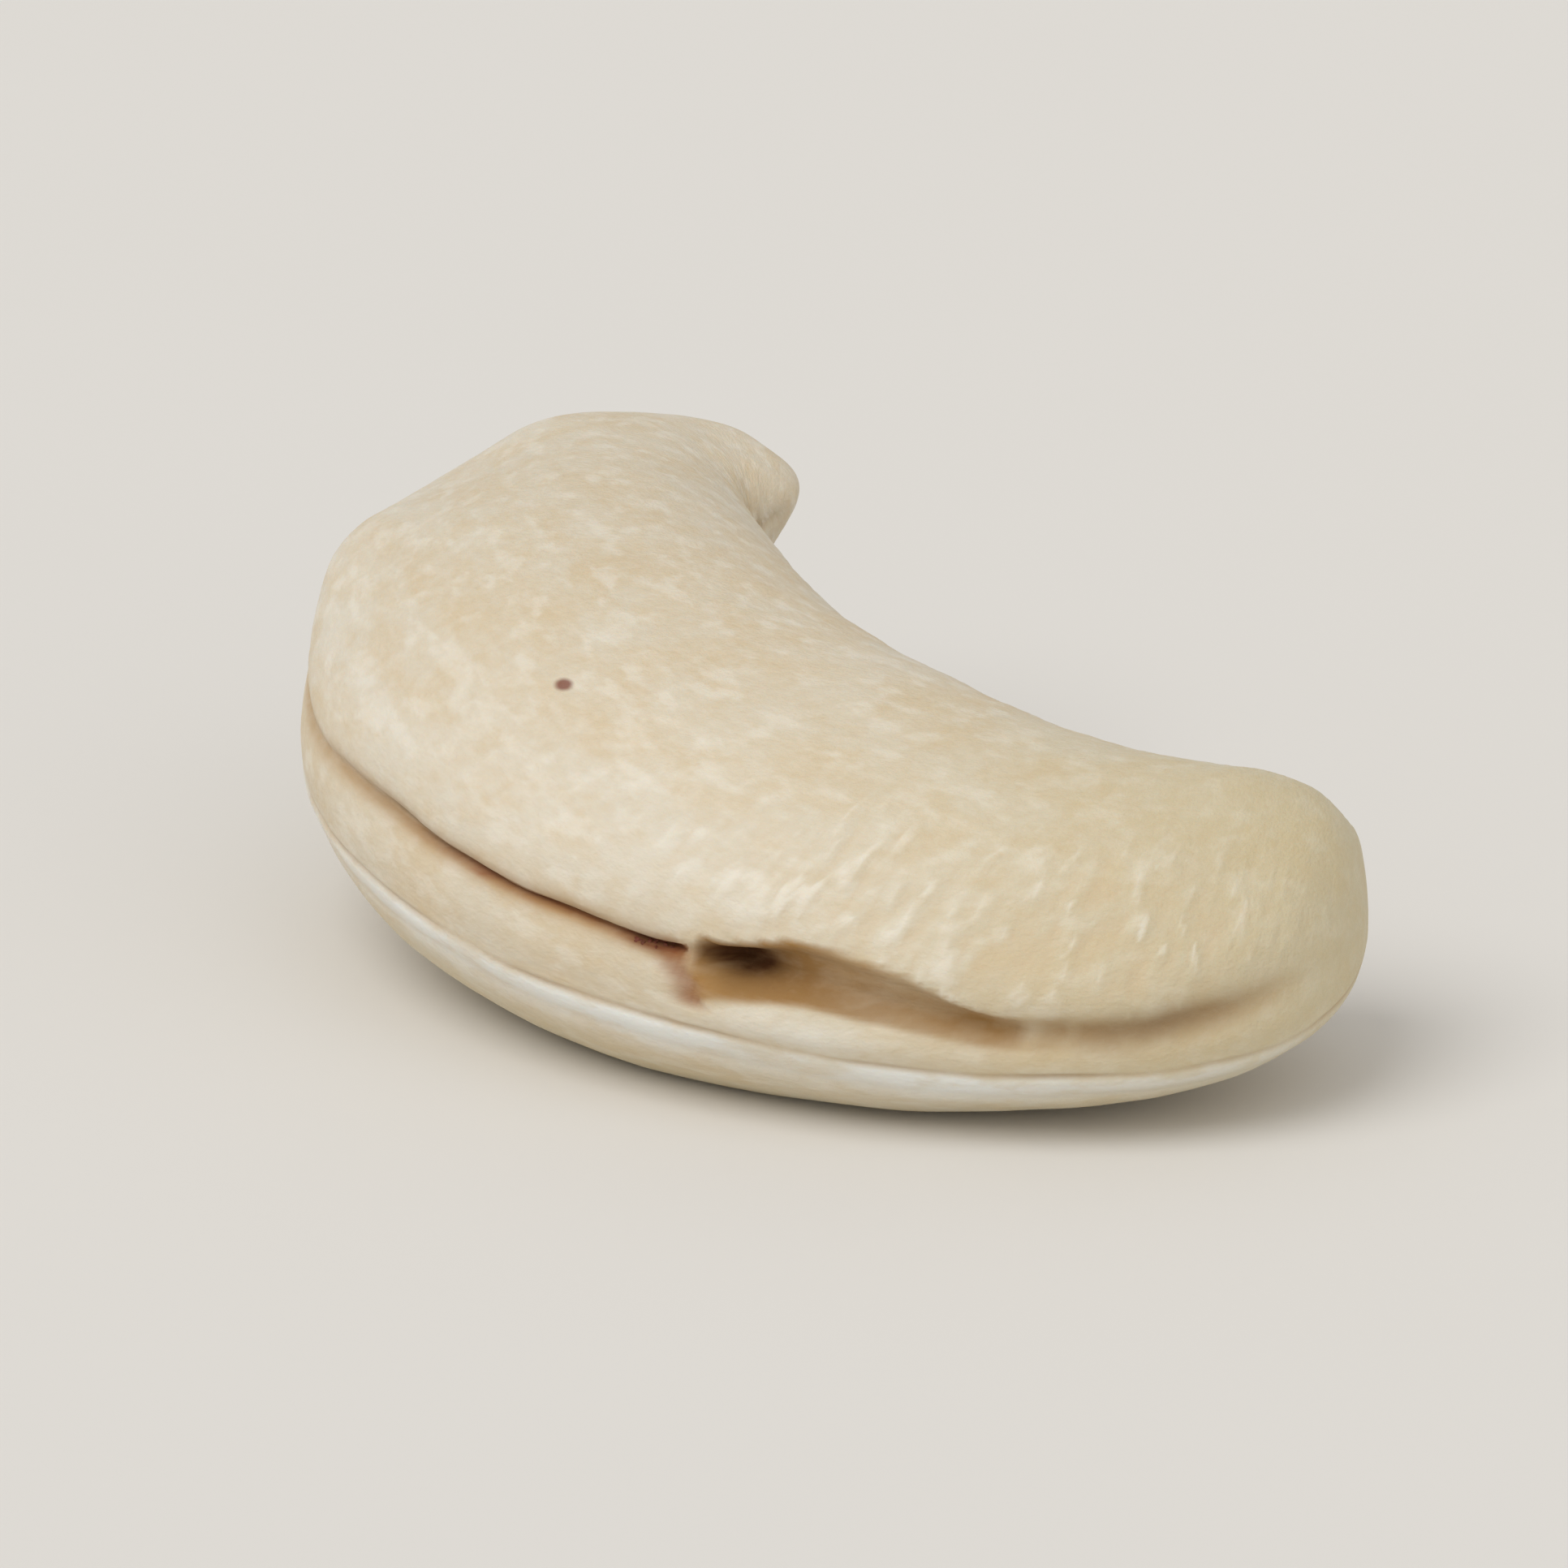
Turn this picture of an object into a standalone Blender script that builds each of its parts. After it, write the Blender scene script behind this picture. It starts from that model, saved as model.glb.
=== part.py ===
"""A whole shelled cashew nut, lying on a small flat spot on its lower lobe.

The nut is one grown body: two plump seed leaves, bent like a comma, that meet in the plane of
the seam. Its form is a ball whose poles are drawn out to the two tips and bent along a middle
line. The seam, the grooves, the split in its rim, the dents and the wrinkles are relief on it.
Lengths are in millimetres until the mesh is written, which is in metres.
"""

import math

import bmesh
import bpy
import numpy as np

MM = 0.001

# Five stations, evenly spaced from the fat tip to the slim tip. The middle line bends in the
# plane of the seam, and rises out of it towards the fat tip.
MIDDLE_LINE = ((-8.7, 6.7), (-9.85, 1.05), (-2.0, -3.7), (8.3, -1.3), (12.6, 5.8))
MIDDLE_TO_BACK = ((-2.8, 3.7), (-4.4, -3.5), (-2.5, -6.4), (1.3, -5.6), (4.7, -3.9))
MIDDLE_RISE = (1.2, 0.0, 0.0, 0.0, 0.0)
THICK_ABOVE_SEAM = (3.1, 4.7, 5.3, 5.0, 5.8)
THICK_BELOW_SEAM = (3.9, 5.8, 5.5, 4.1, 2.9)
FAT_TIP_BLUNTNESS = 2.3
SLIM_TIP_BLUNTNESS = 3.0
CROOK_FULLNESS = 0.85

# The germ stands out a little between the lobes at the fat tip.
GERM_REACH = 0.3
GERM_WIDTH = 0.3

# How the nut lies: its seam leans over towards one side, and its lowest part is pressed flat.
LEAN_DEG = 12.0
LEAN_TOWARDS_DEG = 48.0
FLAT_SPOT_CUT = 0.6
FLAT_SPOT_SOFTNESS = 0.15

# The groove along the back, under the edge of the upper lobe. It climbs from the fat end to the
# middle, drops past the split, and climbs again to the slim tip.
GROOVE_HEIGHT = 1.12
GROOVE_CLIMB = 0.47
GROOVE_CLIMBS_AT = (-0.25, 0.02)
GROOVE_DROP = 0.97
GROOVE_DROPS_AT = (0.40, 0.60)
GROOVE_SECOND_CLIMB = 0.4
GROOVE_CLIMBS_AGAIN_AT = (0.66, 0.86)
GROOVE_HALF_WIDTHS = (0.25, 0.28, 0.5)
GROOVE_DEPTH = 0.4
GROOVE_LOWER_FLANK = 0.55
LOBE_EDGE_ABOVE_GROOVE = 1.1
LOBE_EDGE_HALF_WIDTH = 0.75
LOBE_EDGE_SWELL = 0.15

# Below the groove: a strip, the fine seam between the seed leaves, and a pale ridge.
STRIP_HALF_WIDTH = 0.35
STRIP_LEAST_HALF_WIDTH = 0.05
STRIP_SWELL = 0.08
SEAM_HEIGHT = -0.47
SEAM_HALF_WIDTH = 0.2
SEAM_DEPTH = 0.1
RIDGE_HEIGHT = -0.8
RIDGE_HALF_WIDTH = 0.34
RIDGE_SWELL = 0.12

# The inner side of the bend: a fold along the seam between two soft lips.
CROOK_FOLD_HALF_WIDTH = 0.4
CROOK_FOLD_DEPTH = 0.5
CROOK_LIP_HEIGHT = 1.5
CROOK_LIP_HALF_WIDTH = 0.8
CROOK_LIP_SWELL = 0.2

# Where the groove has split open: its place along the nut and its size.
SPLIT_PLACE = 0.395
SPLIT_HALF_LENGTH = 0.055
SPLIT_BELOW_GROOVE = 0.25
SPLIT_HALF_WIDTH = 0.48
SPLIT_DEPTH = 0.6

# Dents and swellings: place along (-1 fat tip, 1 slim tip), turn from the back in degrees,
# half length along, half width in degrees, and height in millimetres.
DENTS = (
    (-0.47, 58.0, 0.13, 20.0, -0.30),
    (-0.38, 36.0, 0.09, 15.0, 0.48),
    (-0.64, 60.0, 0.09, 16.0, 0.25),
    (0.20, 130.0, 0.20, 24.0, 0.16),
    (0.76, 105.0, 0.13, 24.0, 0.34),
    (0.94, 92.0, 0.08, 40.0, 0.32),
    (-0.32, 3.0, 0.15, 11.0, -0.16),
    (0.10, 215.0, 0.20, 24.0, -0.30),
    (-0.45, 250.0, 0.18, 26.0, -0.20),
    (0.55, 290.0, 0.20, 26.0, -0.15),
)

# Faint wrinkles across the upper lobe's edge, which grow towards the slim tip.
WRINKLE_DEPTH = 0.04
WRINKLE_PACE = 50.0
WRINKLE_SWAY = 0.9
WRINKLE_SWAYS_ROUND = 3.0
WRINKLE_TURN_DEG = 36.0
WRINKLE_SPREAD_DEG = 30.0
WRINKLES_START = (-0.6, 0.5)

# How the relief fades: over the flanks, as a cosine of the turn, and towards the tips.
FLANK_FADE = (0.1, 0.5)
TIP_FADE = 0.35

# The mesh: rings and points, crowded towards the seam and the middle of the nut.
RINGS_ALONG = 78
POINTS_ROUND = 72
CROWD_TO_SEAM = 0.30
CROWD_TO_MIDDLE = 0.06

FLESH_RGB = (0.62, 0.53, 0.40)
FLESH_ROUGHNESS = 0.5


def through(stations, place):
    """The smooth curve through evenly spaced stations, read at places from 0 to 1."""
    stations = np.array(stations, dtype=float)
    marks = np.linspace(0.0, 1.0, len(stations))
    total = 0.0
    for mark, station in zip(marks, stations):
        weight = np.ones_like(place)
        for other in marks:
            if other != mark:
                weight = weight * (place - other) / (mark - other)
        total = total + weight[:, None] * np.atleast_1d(station)
    return total


def hump(distance, half_width):
    """A soft rounded hump, 1 in its middle and nearly 0 past twice its half width."""
    return np.exp(-((distance / half_width) ** 2))


def step(value, low, high):
    """0 below low, 1 above high, with a soft S between."""
    share = np.clip((value - low) / (high - low), 0.0, 1.0)
    return share * share * (3.0 - 2.0 * share)


def along_and_turn(ball):
    """Each ball point's place along the nut, -1 to 1, and its turn round it from the back."""
    polar = np.arccos(np.clip(ball[:, 2], -1.0, 1.0))
    polar = polar - CROWD_TO_MIDDLE * np.sin(2.0 * polar)
    turn = np.arctan2(ball[:, 1], ball[:, 0])
    turn = turn - CROWD_TO_SEAM * np.sin(2.0 * turn)
    return -np.cos(polar), turn


def tip_rounding(along):
    """How much of the full section is left, 1 at the middle and 0 at the tips."""
    bluntness = np.where(along < 0.0, FAT_TIP_BLUNTNESS, SLIM_TIP_BLUNTNESS)
    return np.sqrt(np.clip(1.0 - np.abs(along) ** bluntness, 0.0, 1.0))


def rim_line(height, reach):
    """The height of a line round the rim, drawn in to the seam where the nut is thin."""
    return height * reach / np.hypot(reach, 1.5 * height)


def groove_height(along):
    """The height of the groove's middle above the plane of the seam, along the nut."""
    height = GROOVE_HEIGHT + GROOVE_CLIMB * step(along, *GROOVE_CLIMBS_AT)
    height = height - GROOVE_DROP * step(along, *GROOVE_DROPS_AT)
    return height + GROOVE_SECOND_CLIMB * step(along, *GROOVE_CLIMBS_AGAIN_AT)


def back_relief(along, height, reach):
    """Swell of the rim on the convex back: groove, lobe edge, strip, seam, ridge and split."""
    groove = rim_line(groove_height(along), reach)
    groove_half_width = through(GROOVE_HALF_WIDTHS, (along + 1.0) / 2.0)[:, 0]
    seam = rim_line(SEAM_HEIGHT, reach)
    ridge = rim_line(RIDGE_HEIGHT, reach)
    above = height - groove
    flank = np.where(above > 0.0, above, GROOVE_LOWER_FLANK * above)
    swell = -GROOVE_DEPTH * hump(flank, groove_half_width)
    swell += LOBE_EDGE_SWELL * hump(above - LOBE_EDGE_ABOVE_GROOVE, LOBE_EDGE_HALF_WIDTH)
    strip_half_width = STRIP_HALF_WIDTH * (groove - seam) + STRIP_LEAST_HALF_WIDTH
    swell += STRIP_SWELL * hump(height - 0.5 * (groove + seam), strip_half_width)
    swell -= SEAM_DEPTH * hump(height - seam, SEAM_HALF_WIDTH)
    swell += RIDGE_SWELL * hump(height - ridge, RIDGE_HALF_WIDTH)
    split = hump(along - SPLIT_PLACE, SPLIT_HALF_LENGTH)
    split = split * hump(above + SPLIT_BELOW_GROOVE, SPLIT_HALF_WIDTH)
    return swell - SPLIT_DEPTH * split


def crook_relief(height):
    """Swell of the inner side: one fold along the seam, between two soft lips."""
    upper_lip = hump(height - CROOK_LIP_HEIGHT, CROOK_LIP_HALF_WIDTH)
    lower_lip = hump(height + CROOK_LIP_HEIGHT, CROOK_LIP_HALF_WIDTH)
    fold = hump(height, CROOK_FOLD_HALF_WIDTH)
    return CROOK_LIP_SWELL * (upper_lip + lower_lip) - CROOK_FOLD_DEPTH * fold


def hump_round(turn, middle_deg, half_width_deg):
    """A soft hump round the nut, about a turn that is given in degrees."""
    apart = np.angle(np.exp(1j * (turn - math.radians(middle_deg))))
    return hump(apart, math.radians(half_width_deg))


def dents_and_wrinkles(along, turn):
    """Shallow dents and swellings, and faint wrinkles across the upper lobe's edge."""
    swell = np.zeros_like(along)
    for place, angle, length, width, size in DENTS:
        swell += size * hump(along - place, length) * hump_round(turn, angle, width)
    wave = WRINKLE_PACE * along + WRINKLE_SWAY * np.sin(WRINKLE_SWAYS_ROUND * turn)
    strength = hump_round(turn, WRINKLE_TURN_DEG, WRINKLE_SPREAD_DEG)
    strength = strength * step(along, *WRINKLES_START) * step(tip_rounding(along), TIP_FADE, 1.0)
    return swell + WRINKLE_DEPTH * strength * np.sin(wave)


def nut_points(ball):
    """The nut's surface for points of a ball whose poles become the tips."""
    along, turn = along_and_turn(ball)
    place = (along + 1.0) / 2.0
    rounding = tip_rounding(along)
    above = through(THICK_ABOVE_SEAM, place)[:, 0]
    below = through(THICK_BELOW_SEAM, place)[:, 0]
    reach = np.where(np.sin(turn) > 0.0, above, below) * rounding
    height = reach * np.sin(turn)

    on_back = step(np.cos(turn), *FLANK_FADE)
    on_crook = step(-np.cos(turn), *FLANK_FADE)
    near_tip = step(rounding, 0.0, TIP_FADE)
    swell = on_back * back_relief(along, height, reach) + on_crook * crook_relief(height)
    swell = (swell * near_tip + dents_and_wrinkles(along, turn)) * near_tip

    to_back = through(MIDDLE_TO_BACK, place)
    breadth = np.linalg.norm(to_back, axis=1)
    sideways = np.cos(turn)
    sideways = np.where(sideways < 0.0, -np.abs(sideways) ** CROOK_FULLNESS, sideways)
    out = (breadth * rounding + swell) * sideways / breadth
    flat = through(MIDDLE_LINE, place) + to_back * out[:, None]

    tips = np.array(MIDDLE_LINE[0]) - through(MIDDLE_LINE, np.array([0.02]))[0]
    germ = GERM_REACH * hump(rounding, GERM_WIDTH) * (along < 0.0)
    flat += np.outer(germ, tips / np.linalg.norm(tips))
    rise = through(MIDDLE_RISE, place)[:, 0]
    return np.column_stack([flat, rise + (reach + swell) * np.sin(turn)])


def lay_down(points):
    """Lean the nut over, press its lowest part flat and centre it on the floor."""
    lean = math.radians(LEAN_DEG)
    side = math.radians(LEAN_TOWARDS_DEG)
    axis = np.array([math.cos(side), math.sin(side), 0.0])
    laid = points * math.cos(lean) + np.cross(axis, points) * math.sin(lean)
    laid += np.outer(points @ axis, axis) * (1.0 - math.cos(lean))
    lift = np.maximum(laid[:, 2] - laid[:, 2].min() - FLAT_SPOT_CUT, 0.0)
    laid[:, 2] = lift * lift / (lift + FLAT_SPOT_SOFTNESS)
    middle = (laid.min(axis=0) + laid.max(axis=0)) / 2.0
    laid[:, :2] -= middle[:2]
    return laid


def make_flesh():
    """Cream, waxy nut flesh."""
    material = bpy.data.materials.new("cashew_flesh")
    material.use_nodes = True
    shader = material.node_tree.nodes["Principled BSDF"]
    shader.inputs["Base Color"].default_value = (*FLESH_RGB, 1.0)
    shader.inputs["Roughness"].default_value = FLESH_ROUGHNESS
    shader.inputs["Metallic"].default_value = 0.0
    return material


def make_kernel(collection):
    """The whole nut, as one closed body."""
    shell = bmesh.new()
    bmesh.ops.create_uvsphere(shell, u_segments=POINTS_ROUND, v_segments=RINGS_ALONG, radius=1.0)
    ball = np.array([vertex.co for vertex in shell.verts], dtype=float)
    for vertex, point in zip(shell.verts, lay_down(nut_points(ball)) * MM):
        vertex.co = point
    bmesh.ops.triangulate(shell, faces=shell.faces)
    bmesh.ops.recalc_face_normals(shell, faces=shell.faces)
    mesh = bpy.data.meshes.new("kernel")
    shell.to_mesh(mesh)
    shell.free()
    mesh.shade_smooth()
    mesh.materials.append(make_flesh())
    collection.objects.link(bpy.data.objects.new("kernel", mesh))


def main():
    """Clear the scene and build the nut."""
    for item in list(bpy.data.objects):
        bpy.data.objects.remove(item)
    collection = bpy.data.collections.new("cashew_nut")
    bpy.context.scene.collection.children.link(collection)
    make_kernel(collection)


if __name__ == "__main__":
    main()
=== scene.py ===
"""A shelled cashew nut for a picture: its flesh, the bits of skin left in its rim, and a stage.

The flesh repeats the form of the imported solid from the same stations, with the rim's crack, the
torn split and the wrinkles drawn finer. Lengths of the form are in millimetres, and its mesh is
in metres.
"""

import math
from functools import partial

import bmesh
import bpy
import numpy as np
from bpy.props import FloatProperty, FloatVectorProperty, IntProperty, PointerProperty
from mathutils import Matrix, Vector


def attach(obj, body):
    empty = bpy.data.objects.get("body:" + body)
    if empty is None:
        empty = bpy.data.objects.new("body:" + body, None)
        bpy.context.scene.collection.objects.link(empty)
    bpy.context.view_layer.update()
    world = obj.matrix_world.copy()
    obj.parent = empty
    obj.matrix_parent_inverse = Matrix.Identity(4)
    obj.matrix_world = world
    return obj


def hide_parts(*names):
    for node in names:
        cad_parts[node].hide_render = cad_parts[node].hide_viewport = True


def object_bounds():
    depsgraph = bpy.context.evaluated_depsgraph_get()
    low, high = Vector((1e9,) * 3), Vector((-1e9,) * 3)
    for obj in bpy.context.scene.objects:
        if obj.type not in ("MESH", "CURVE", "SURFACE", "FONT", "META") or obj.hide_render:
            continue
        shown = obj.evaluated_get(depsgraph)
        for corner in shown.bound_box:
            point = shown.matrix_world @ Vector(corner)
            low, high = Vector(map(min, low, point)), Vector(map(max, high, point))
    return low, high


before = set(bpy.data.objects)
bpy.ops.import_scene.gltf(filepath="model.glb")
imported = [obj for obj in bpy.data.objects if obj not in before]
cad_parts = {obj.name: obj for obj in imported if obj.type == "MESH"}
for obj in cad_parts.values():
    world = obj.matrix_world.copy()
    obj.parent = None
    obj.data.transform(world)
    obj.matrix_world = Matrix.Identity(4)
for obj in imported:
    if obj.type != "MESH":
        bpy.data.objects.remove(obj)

bl_info = {
    "name": "Cashew nut",
    "version": (1, 0, 0),
    "blender": (4, 5, 0),
    "location": "3D View > Sidebar > Cashew",
    "description": "Builds a shelled cashew nut with its rim, split and wrinkles, and a stage",
    "category": "Add Mesh",
}

MM = 0.001
SOLID_BOX = [list(corner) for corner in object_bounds()]

# The form of the nut, station by station from the fat tip to the slim tip, as in its solid.
MIDDLE_LINE = ((-8.7, 6.7), (-9.85, 1.05), (-2.0, -3.7), (8.3, -1.3), (12.6, 5.8))
MIDDLE_TO_BACK = ((-2.8, 3.7), (-4.4, -3.5), (-2.5, -6.4), (1.3, -5.6), (4.7, -3.9))
MIDDLE_RISE = (1.2, 0.0, 0.0, 0.0, 0.0)
THICK_ABOVE_SEAM = (3.1, 4.7, 5.3, 5.0, 5.8)
THICK_BELOW_SEAM = (3.9, 5.8, 5.5, 4.1, 2.9)
FAT_TIP_BLUNTNESS = 2.3
SLIM_TIP_BLUNTNESS = 3.0
CROOK_FULLNESS = 0.85
GERM_REACH = 0.3
GERM_WIDTH = 0.3
GERM_AIMS_FROM = 0.02
LEAN_DEG = 12.0
LEAN_TOWARDS_DEG = 48.0
FLAT_SPOT_CUT = 0.6
FLAT_SPOT_SOFTNESS = 0.15

# A place along the nut runs from -1 at the fat tip to 1 at the slim tip. A span is where a change
# starts and where it is complete, and a band is its middle and its half width. Heights and
# widths are in millimetres, and shares run from 0 to 1.

# Lines round the rim, above the plane between the seed leaves.
GROOVE_HEIGHT = 1.12
GROOVE_CLIMB = 0.47
GROOVE_CLIMBS_AT = (-0.25, 0.02)
GROOVE_DROP = 0.97
GROOVE_DROPS_AT = (0.40, 0.60)
GROOVE_SECOND_CLIMB = 0.4
GROOVE_CLIMBS_AGAIN_AT = (0.66, 0.86)
SEAM_HEIGHT = -0.47
RIDGE_HEIGHT = -0.8
SEAM_SAG = 0.28
SEAM_SAG_ENDS = (0.15, 0.48)
DRAWN_IN_BY_THINNESS = 1.5

# Dents and swellings: place along, turn from the back, half length, half width, height.
DENTS = (
    (-0.47, 58.0, 0.13, 20.0, -0.30),
    (-0.38, 36.0, 0.09, 15.0, 0.48),
    (-0.64, 60.0, 0.09, 16.0, 0.25),
    (0.20, 130.0, 0.20, 24.0, 0.16),
    (0.76, 105.0, 0.13, 24.0, 0.34),
    (0.94, 92.0, 0.08, 40.0, 0.32),
    (-0.32, 3.0, 0.15, 11.0, -0.16),
    (0.10, 215.0, 0.20, 24.0, -0.30),
    (-0.45, 250.0, 0.18, 26.0, -0.20),
    (0.55, 290.0, 0.20, 26.0, -0.15),
)
FINER_DENTS = (
    (0.978, 100.0, 0.018, 20.0, 0.18),
    (0.945, 120.0, 0.060, 30.0, -0.32),
    (0.93, 52.0, 0.05, 20.0, -0.26),
    (-0.955, 60.0, 0.03, 24.0, -0.10),
)

# How far the lines round the rim wander from an even course: size, pace and start.
GROOVE_WANDER = ((0.05, 9.0, 1.0), (0.03, 23.0, 2.0), (0.018, 61.0, 0.5))
SEAM_WANDER = ((0.07, 7.0, 0.3), (0.03, 19.0, 1.2), (0.015, 47.0, 2.5))
CROOK_WANDER = ((0.16, 6.0, 2.0), (0.08, 17.0, 0.4), (0.03, 43.0, 1.7))
TEAR_WANDER = ((0.0022, 4.0, 0.0), (0.0010, 11.0, 1.0))

# The lobe's edge, the step down from it to the rim, and the crack that it closes over. What has
# two widths has the first over the groove's middle, and the second under it.
LOBE_EDGE_HEIGHT = 0.15
LOBE_EDGE_BAND = (1.1, 0.75)
LOBE_EDGE_FILLS = (-0.40, 0.12)
LOBE_EDGE_LEAST = 0.5
LOBE_DROOP = 0.15
LOBE_DROOP_BAND = (0.13, 0.17)
STEP_HALF_WIDTHS = (0.24, 0.55)
STEP_PAST_CRACK = 0.35
CRACK_STARTS = (-0.6, -0.3)
CRACK_DEEPENS = (-0.2, 0.22)
CRACK_ENDS = (0.305, 0.335)
CRACK_LEAST = 0.15
CRACK_WIDER_WHERE_LEAST = 0.7
CRACK_UNDER_GROOVE = 0.03
CRACK_LINE_UNDER_GROOVE = 0.04
CRACK_LINE_WIDTH = 1.15
CRACK_LINE_SHADE = 0.30
CRACK_LINE_RUST = 0.9
CRACK_RUSTS = (0.0, 0.14)
CRACK_STAIN_UNDER_GROOVE = 0.10
CRACK_STAIN_HALF_WIDTHS = (0.30, 0.24)
CRACK_STAIN = 0.50
CRACK_STAIN_MORE_WHERE_DEEP = 0.48

# The valley past the split, and the wrinkles that bridge it: place, half length and strength.
VALLEY_STARTS = (0.44, 0.58)
VALLEY_ENDS = (0.76, 0.90)
VALLEY_HALF_WIDTHS = (0.42, 0.50)
VALLEY_BRIDGES = ((0.607, 0.010, 1.0), (0.64, 0.006, 0.5))
BRIDGE_HEIGHT_SHARE = 0.35
VALLEY_STAIN = 0.66
VALLEY_STAIN_HALF_WIDTHS = (0.36, 0.46)
BRIDGE_PALENESS = 0.6
VALLEY_SHADE = 0.32
VALLEY_SHADE_BAND = (0.71, 0.08)

# The tear that slants down across the rim, and the flap between it and the hole.
TEAR_PLACE = 0.322
TEAR_SLANT = -0.0205
TEAR_LEVEL = 1.0
TEAR_DEPTH = 0.17
TEAR_HALF_LENGTH = 0.009
TEAR_FADES_OVER_SEAM = (-0.05, 0.25)
TEAR_FADES_OVER_GROOVE = (0.0, 0.25)
TEAR_MARK_HALF_LENGTH = 0.011
TEAR_STAIN = 0.55
TEAR_RUST = 0.65
FLAP_STARTS = (0.0, 0.008)
FLAP_ENDS = (-0.004, 0.02)
FLAP_DEPTH = 0.10
FLAP_STAIN = 0.30

# The hole, with a sloping end wall, then shallower and narrower as it runs out along the valley.
# Its end wall's spans start from the hole's place, and its side walls' are shares of its reach.
HOLE_PLACE = 0.342
HOLE_END_STARTS = -0.006
HOLE_END_LENGTH = 0.013
HOLE_END_LONGER_BELOW = 0.032
HOLE_CLOSES = (0.54, 0.66)
HOLE_REACH_UNDER = 0.45
HOLE_MORE_UNDER = 0.80
HOLE_MORE_UNDER_RUNS_OUT = 0.08
HOLE_REACH_OVER = 0.42
HOLE_MORE_OVER = 0.40
HOLE_OPENS_UP = (0.34, 0.42)
HOLE_DRAWS_IN = (0.49, 0.58)
HOLE_WALL_OVER = (0.60, 1.0)
HOLE_WALL_UNDER = (-0.35, 1.0)
HOLE_DEPTH_KEPT = 0.16
HOLE_DEPTH_RUNS_OUT = 0.075
HOLE_LIP_DROOP = 0.12
HOLE_LIP_RUNS_OUT = 0.1
HOLE_LIP_HALF_WIDTH = 0.16
HOLE_STAIN_STARTS = (-0.012, 0.002)
HOLE_STAIN_OVER = (0.98, 1.12)
HOLE_STAIN_UNDER = (0.72, 1.02)
HOLE_PALER_AT = (0.07, 0.20)
HOLE_PALENESS = 0.55

# Where shade is painted dark into the hole: its pit, and a painted shade that runs out along it.
PIT_SHADE = 1.4
PIT_LENGTH_BAND = (0.016, 0.026)
PIT_HEIGHT_BAND = (0.06, 0.30)
HOLE_SHADE = 0.64
HOLE_SHADE_STARTS = (-0.004, 0.03)
HOLE_SHADE_RUNS_OUT = 0.14
HOLE_SHADE_BAND = (-0.05, 0.62)

# The swelling of the strip under the hole.
BULGE_HEIGHT = 0.16
BULGE_LENGTH_BAND = (0.435, 0.09)
BULGE_HALF_WIDTH = 0.40
BULGE_CHALK = 0.40

# The strip between the groove and the seam, the seam, and the pale ridge under it. What is
# uneven has a mean, a swing, and the pace and start of two waves.
STRIP_HEIGHT = 0.08
STRIP_SHARE = 0.35
STRIP_LEAST_HALF_WIDTH = 0.05
SEAM_HALF_WIDTH = 0.09
SEAM_STAIN_HALF_WIDTH = 0.08
SEAM_UNEVEN = (0.6, 0.4, (31.0, 1.0), (12.0, 0.0))
CHALK_UNEVEN = (0.75, 0.25, (19.0, 0.0), (7.0, 2.0))
RIDGE_BAND = (0.02, 0.30)
RIDGE_CHALK = 0.35
RIDGE_CHALK_HALF_WIDTH = 0.3
UNDERCUT_DEPTH = 0.04
UNDERCUT_BAND = (-0.50, 0.14)

# The chalky band, from the seam down, and a trace of chalk on the lobe's edge.
CHALK_STARTS_UNDER_SEAM = (-0.05, 0.20)
CHALK_ENDS_UNDER_SEAM = (0.5, 1.6)
CHALK_LEAST = 0.65
CHALK_GROWS = (0.0, 0.4)
CHALK_WANES = (0.52, 0.80)
CHALK_WANES_BY = 0.7
CHALK_ROUNDS_OFF = (0.25, 0.65)
LOBE_CHALK = 0.20
LOBE_CHALK_BAND = (1.4, 1.3)
LOBE_CHALK_ENDS = (0.30, 0.6)

# Marks at the crack: a band along the nut, and a band over the groove.
RUST_SPOT = ((0.297, 0.019), (-0.08, 0.18))
RUST_SPOT_SHADE = 0.6
RUST_SMEAR = ((0.126, 0.010), (-0.08, 0.13))
CRUMB_PATCH = ((0.294, 0.012), (-0.08, 0.06))

# The fold along the inner side of the bend, between two lips.
FOLD_STARTS = (-0.97, -0.75)
FOLD_LEAST = 0.35
FOLD_HALF_WIDTH = 0.3
FOLD_LIPS_APART = 3.0
FOLD_LIP_HALF_WIDTH = 0.8
FOLD_LIP_HEIGHT = 0.2
FOLD_STAIN = 0.55
FOLD_SHADE = 0.35
FOLD_SHADE_HALF_WIDTH = 0.09
FOLD_RUST = 0.4
FOLD_RUST_HALF_WIDTH = 0.14
FOLD_RUST_PACE = 17.0
FOLD_RUST_SPAN = (0.2, 0.8)

# Wrinkles across the lobe's edge, which fade near the slim tip, and some on the inner side. Both
# lie about a turn from the back, with a half width, in degrees.
LOBE_WRINKLES = (40.0, 30.0)
WRINKLES_START = (-0.7, 0.1)
WRINKLES_START_SHARE = 0.4
WRINKLES_GROW = (0.1, 0.5)
WRINKLES_FADE = (0.70, 0.88)
WRINKLES_FADE_BY = 0.8
CROOK_WRINKLES = (180.0, 60.0)
CROOK_WRINKLES_SHARE = 0.4

# Where the flesh is painted olive: towards the slim tip, as thin flesh and painted shade, and low
# on the underside, as painted shade.
THIN_AND_SHADED_ALONG = (0.15, 1.0)
PAINTED_SHADE_UNDER_SEAM = (1.2, 3.4)
PAINTED_SHADE_UNDER_SEAM_SHARE = 0.7

# The marks that the rim and the fold leave on the flesh; dark among them is painted shade in the
# crack, the split, the valley and the fold.
MARKS = ("stain", "dark", "rust", "chalk", "seam", "crumbs")

# The unbent frame of the pattern is as long as this on each side of its middle.
HALF_LENGTH = 20.0

# A fleck of skin on the upper lobe, in the unbent frame, and how far from its middle it starts
# and is full.
FLECK_AT = (1.24, 3.02, 4.74)
FLECK_SPAN = (0.26, 0.10)

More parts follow.
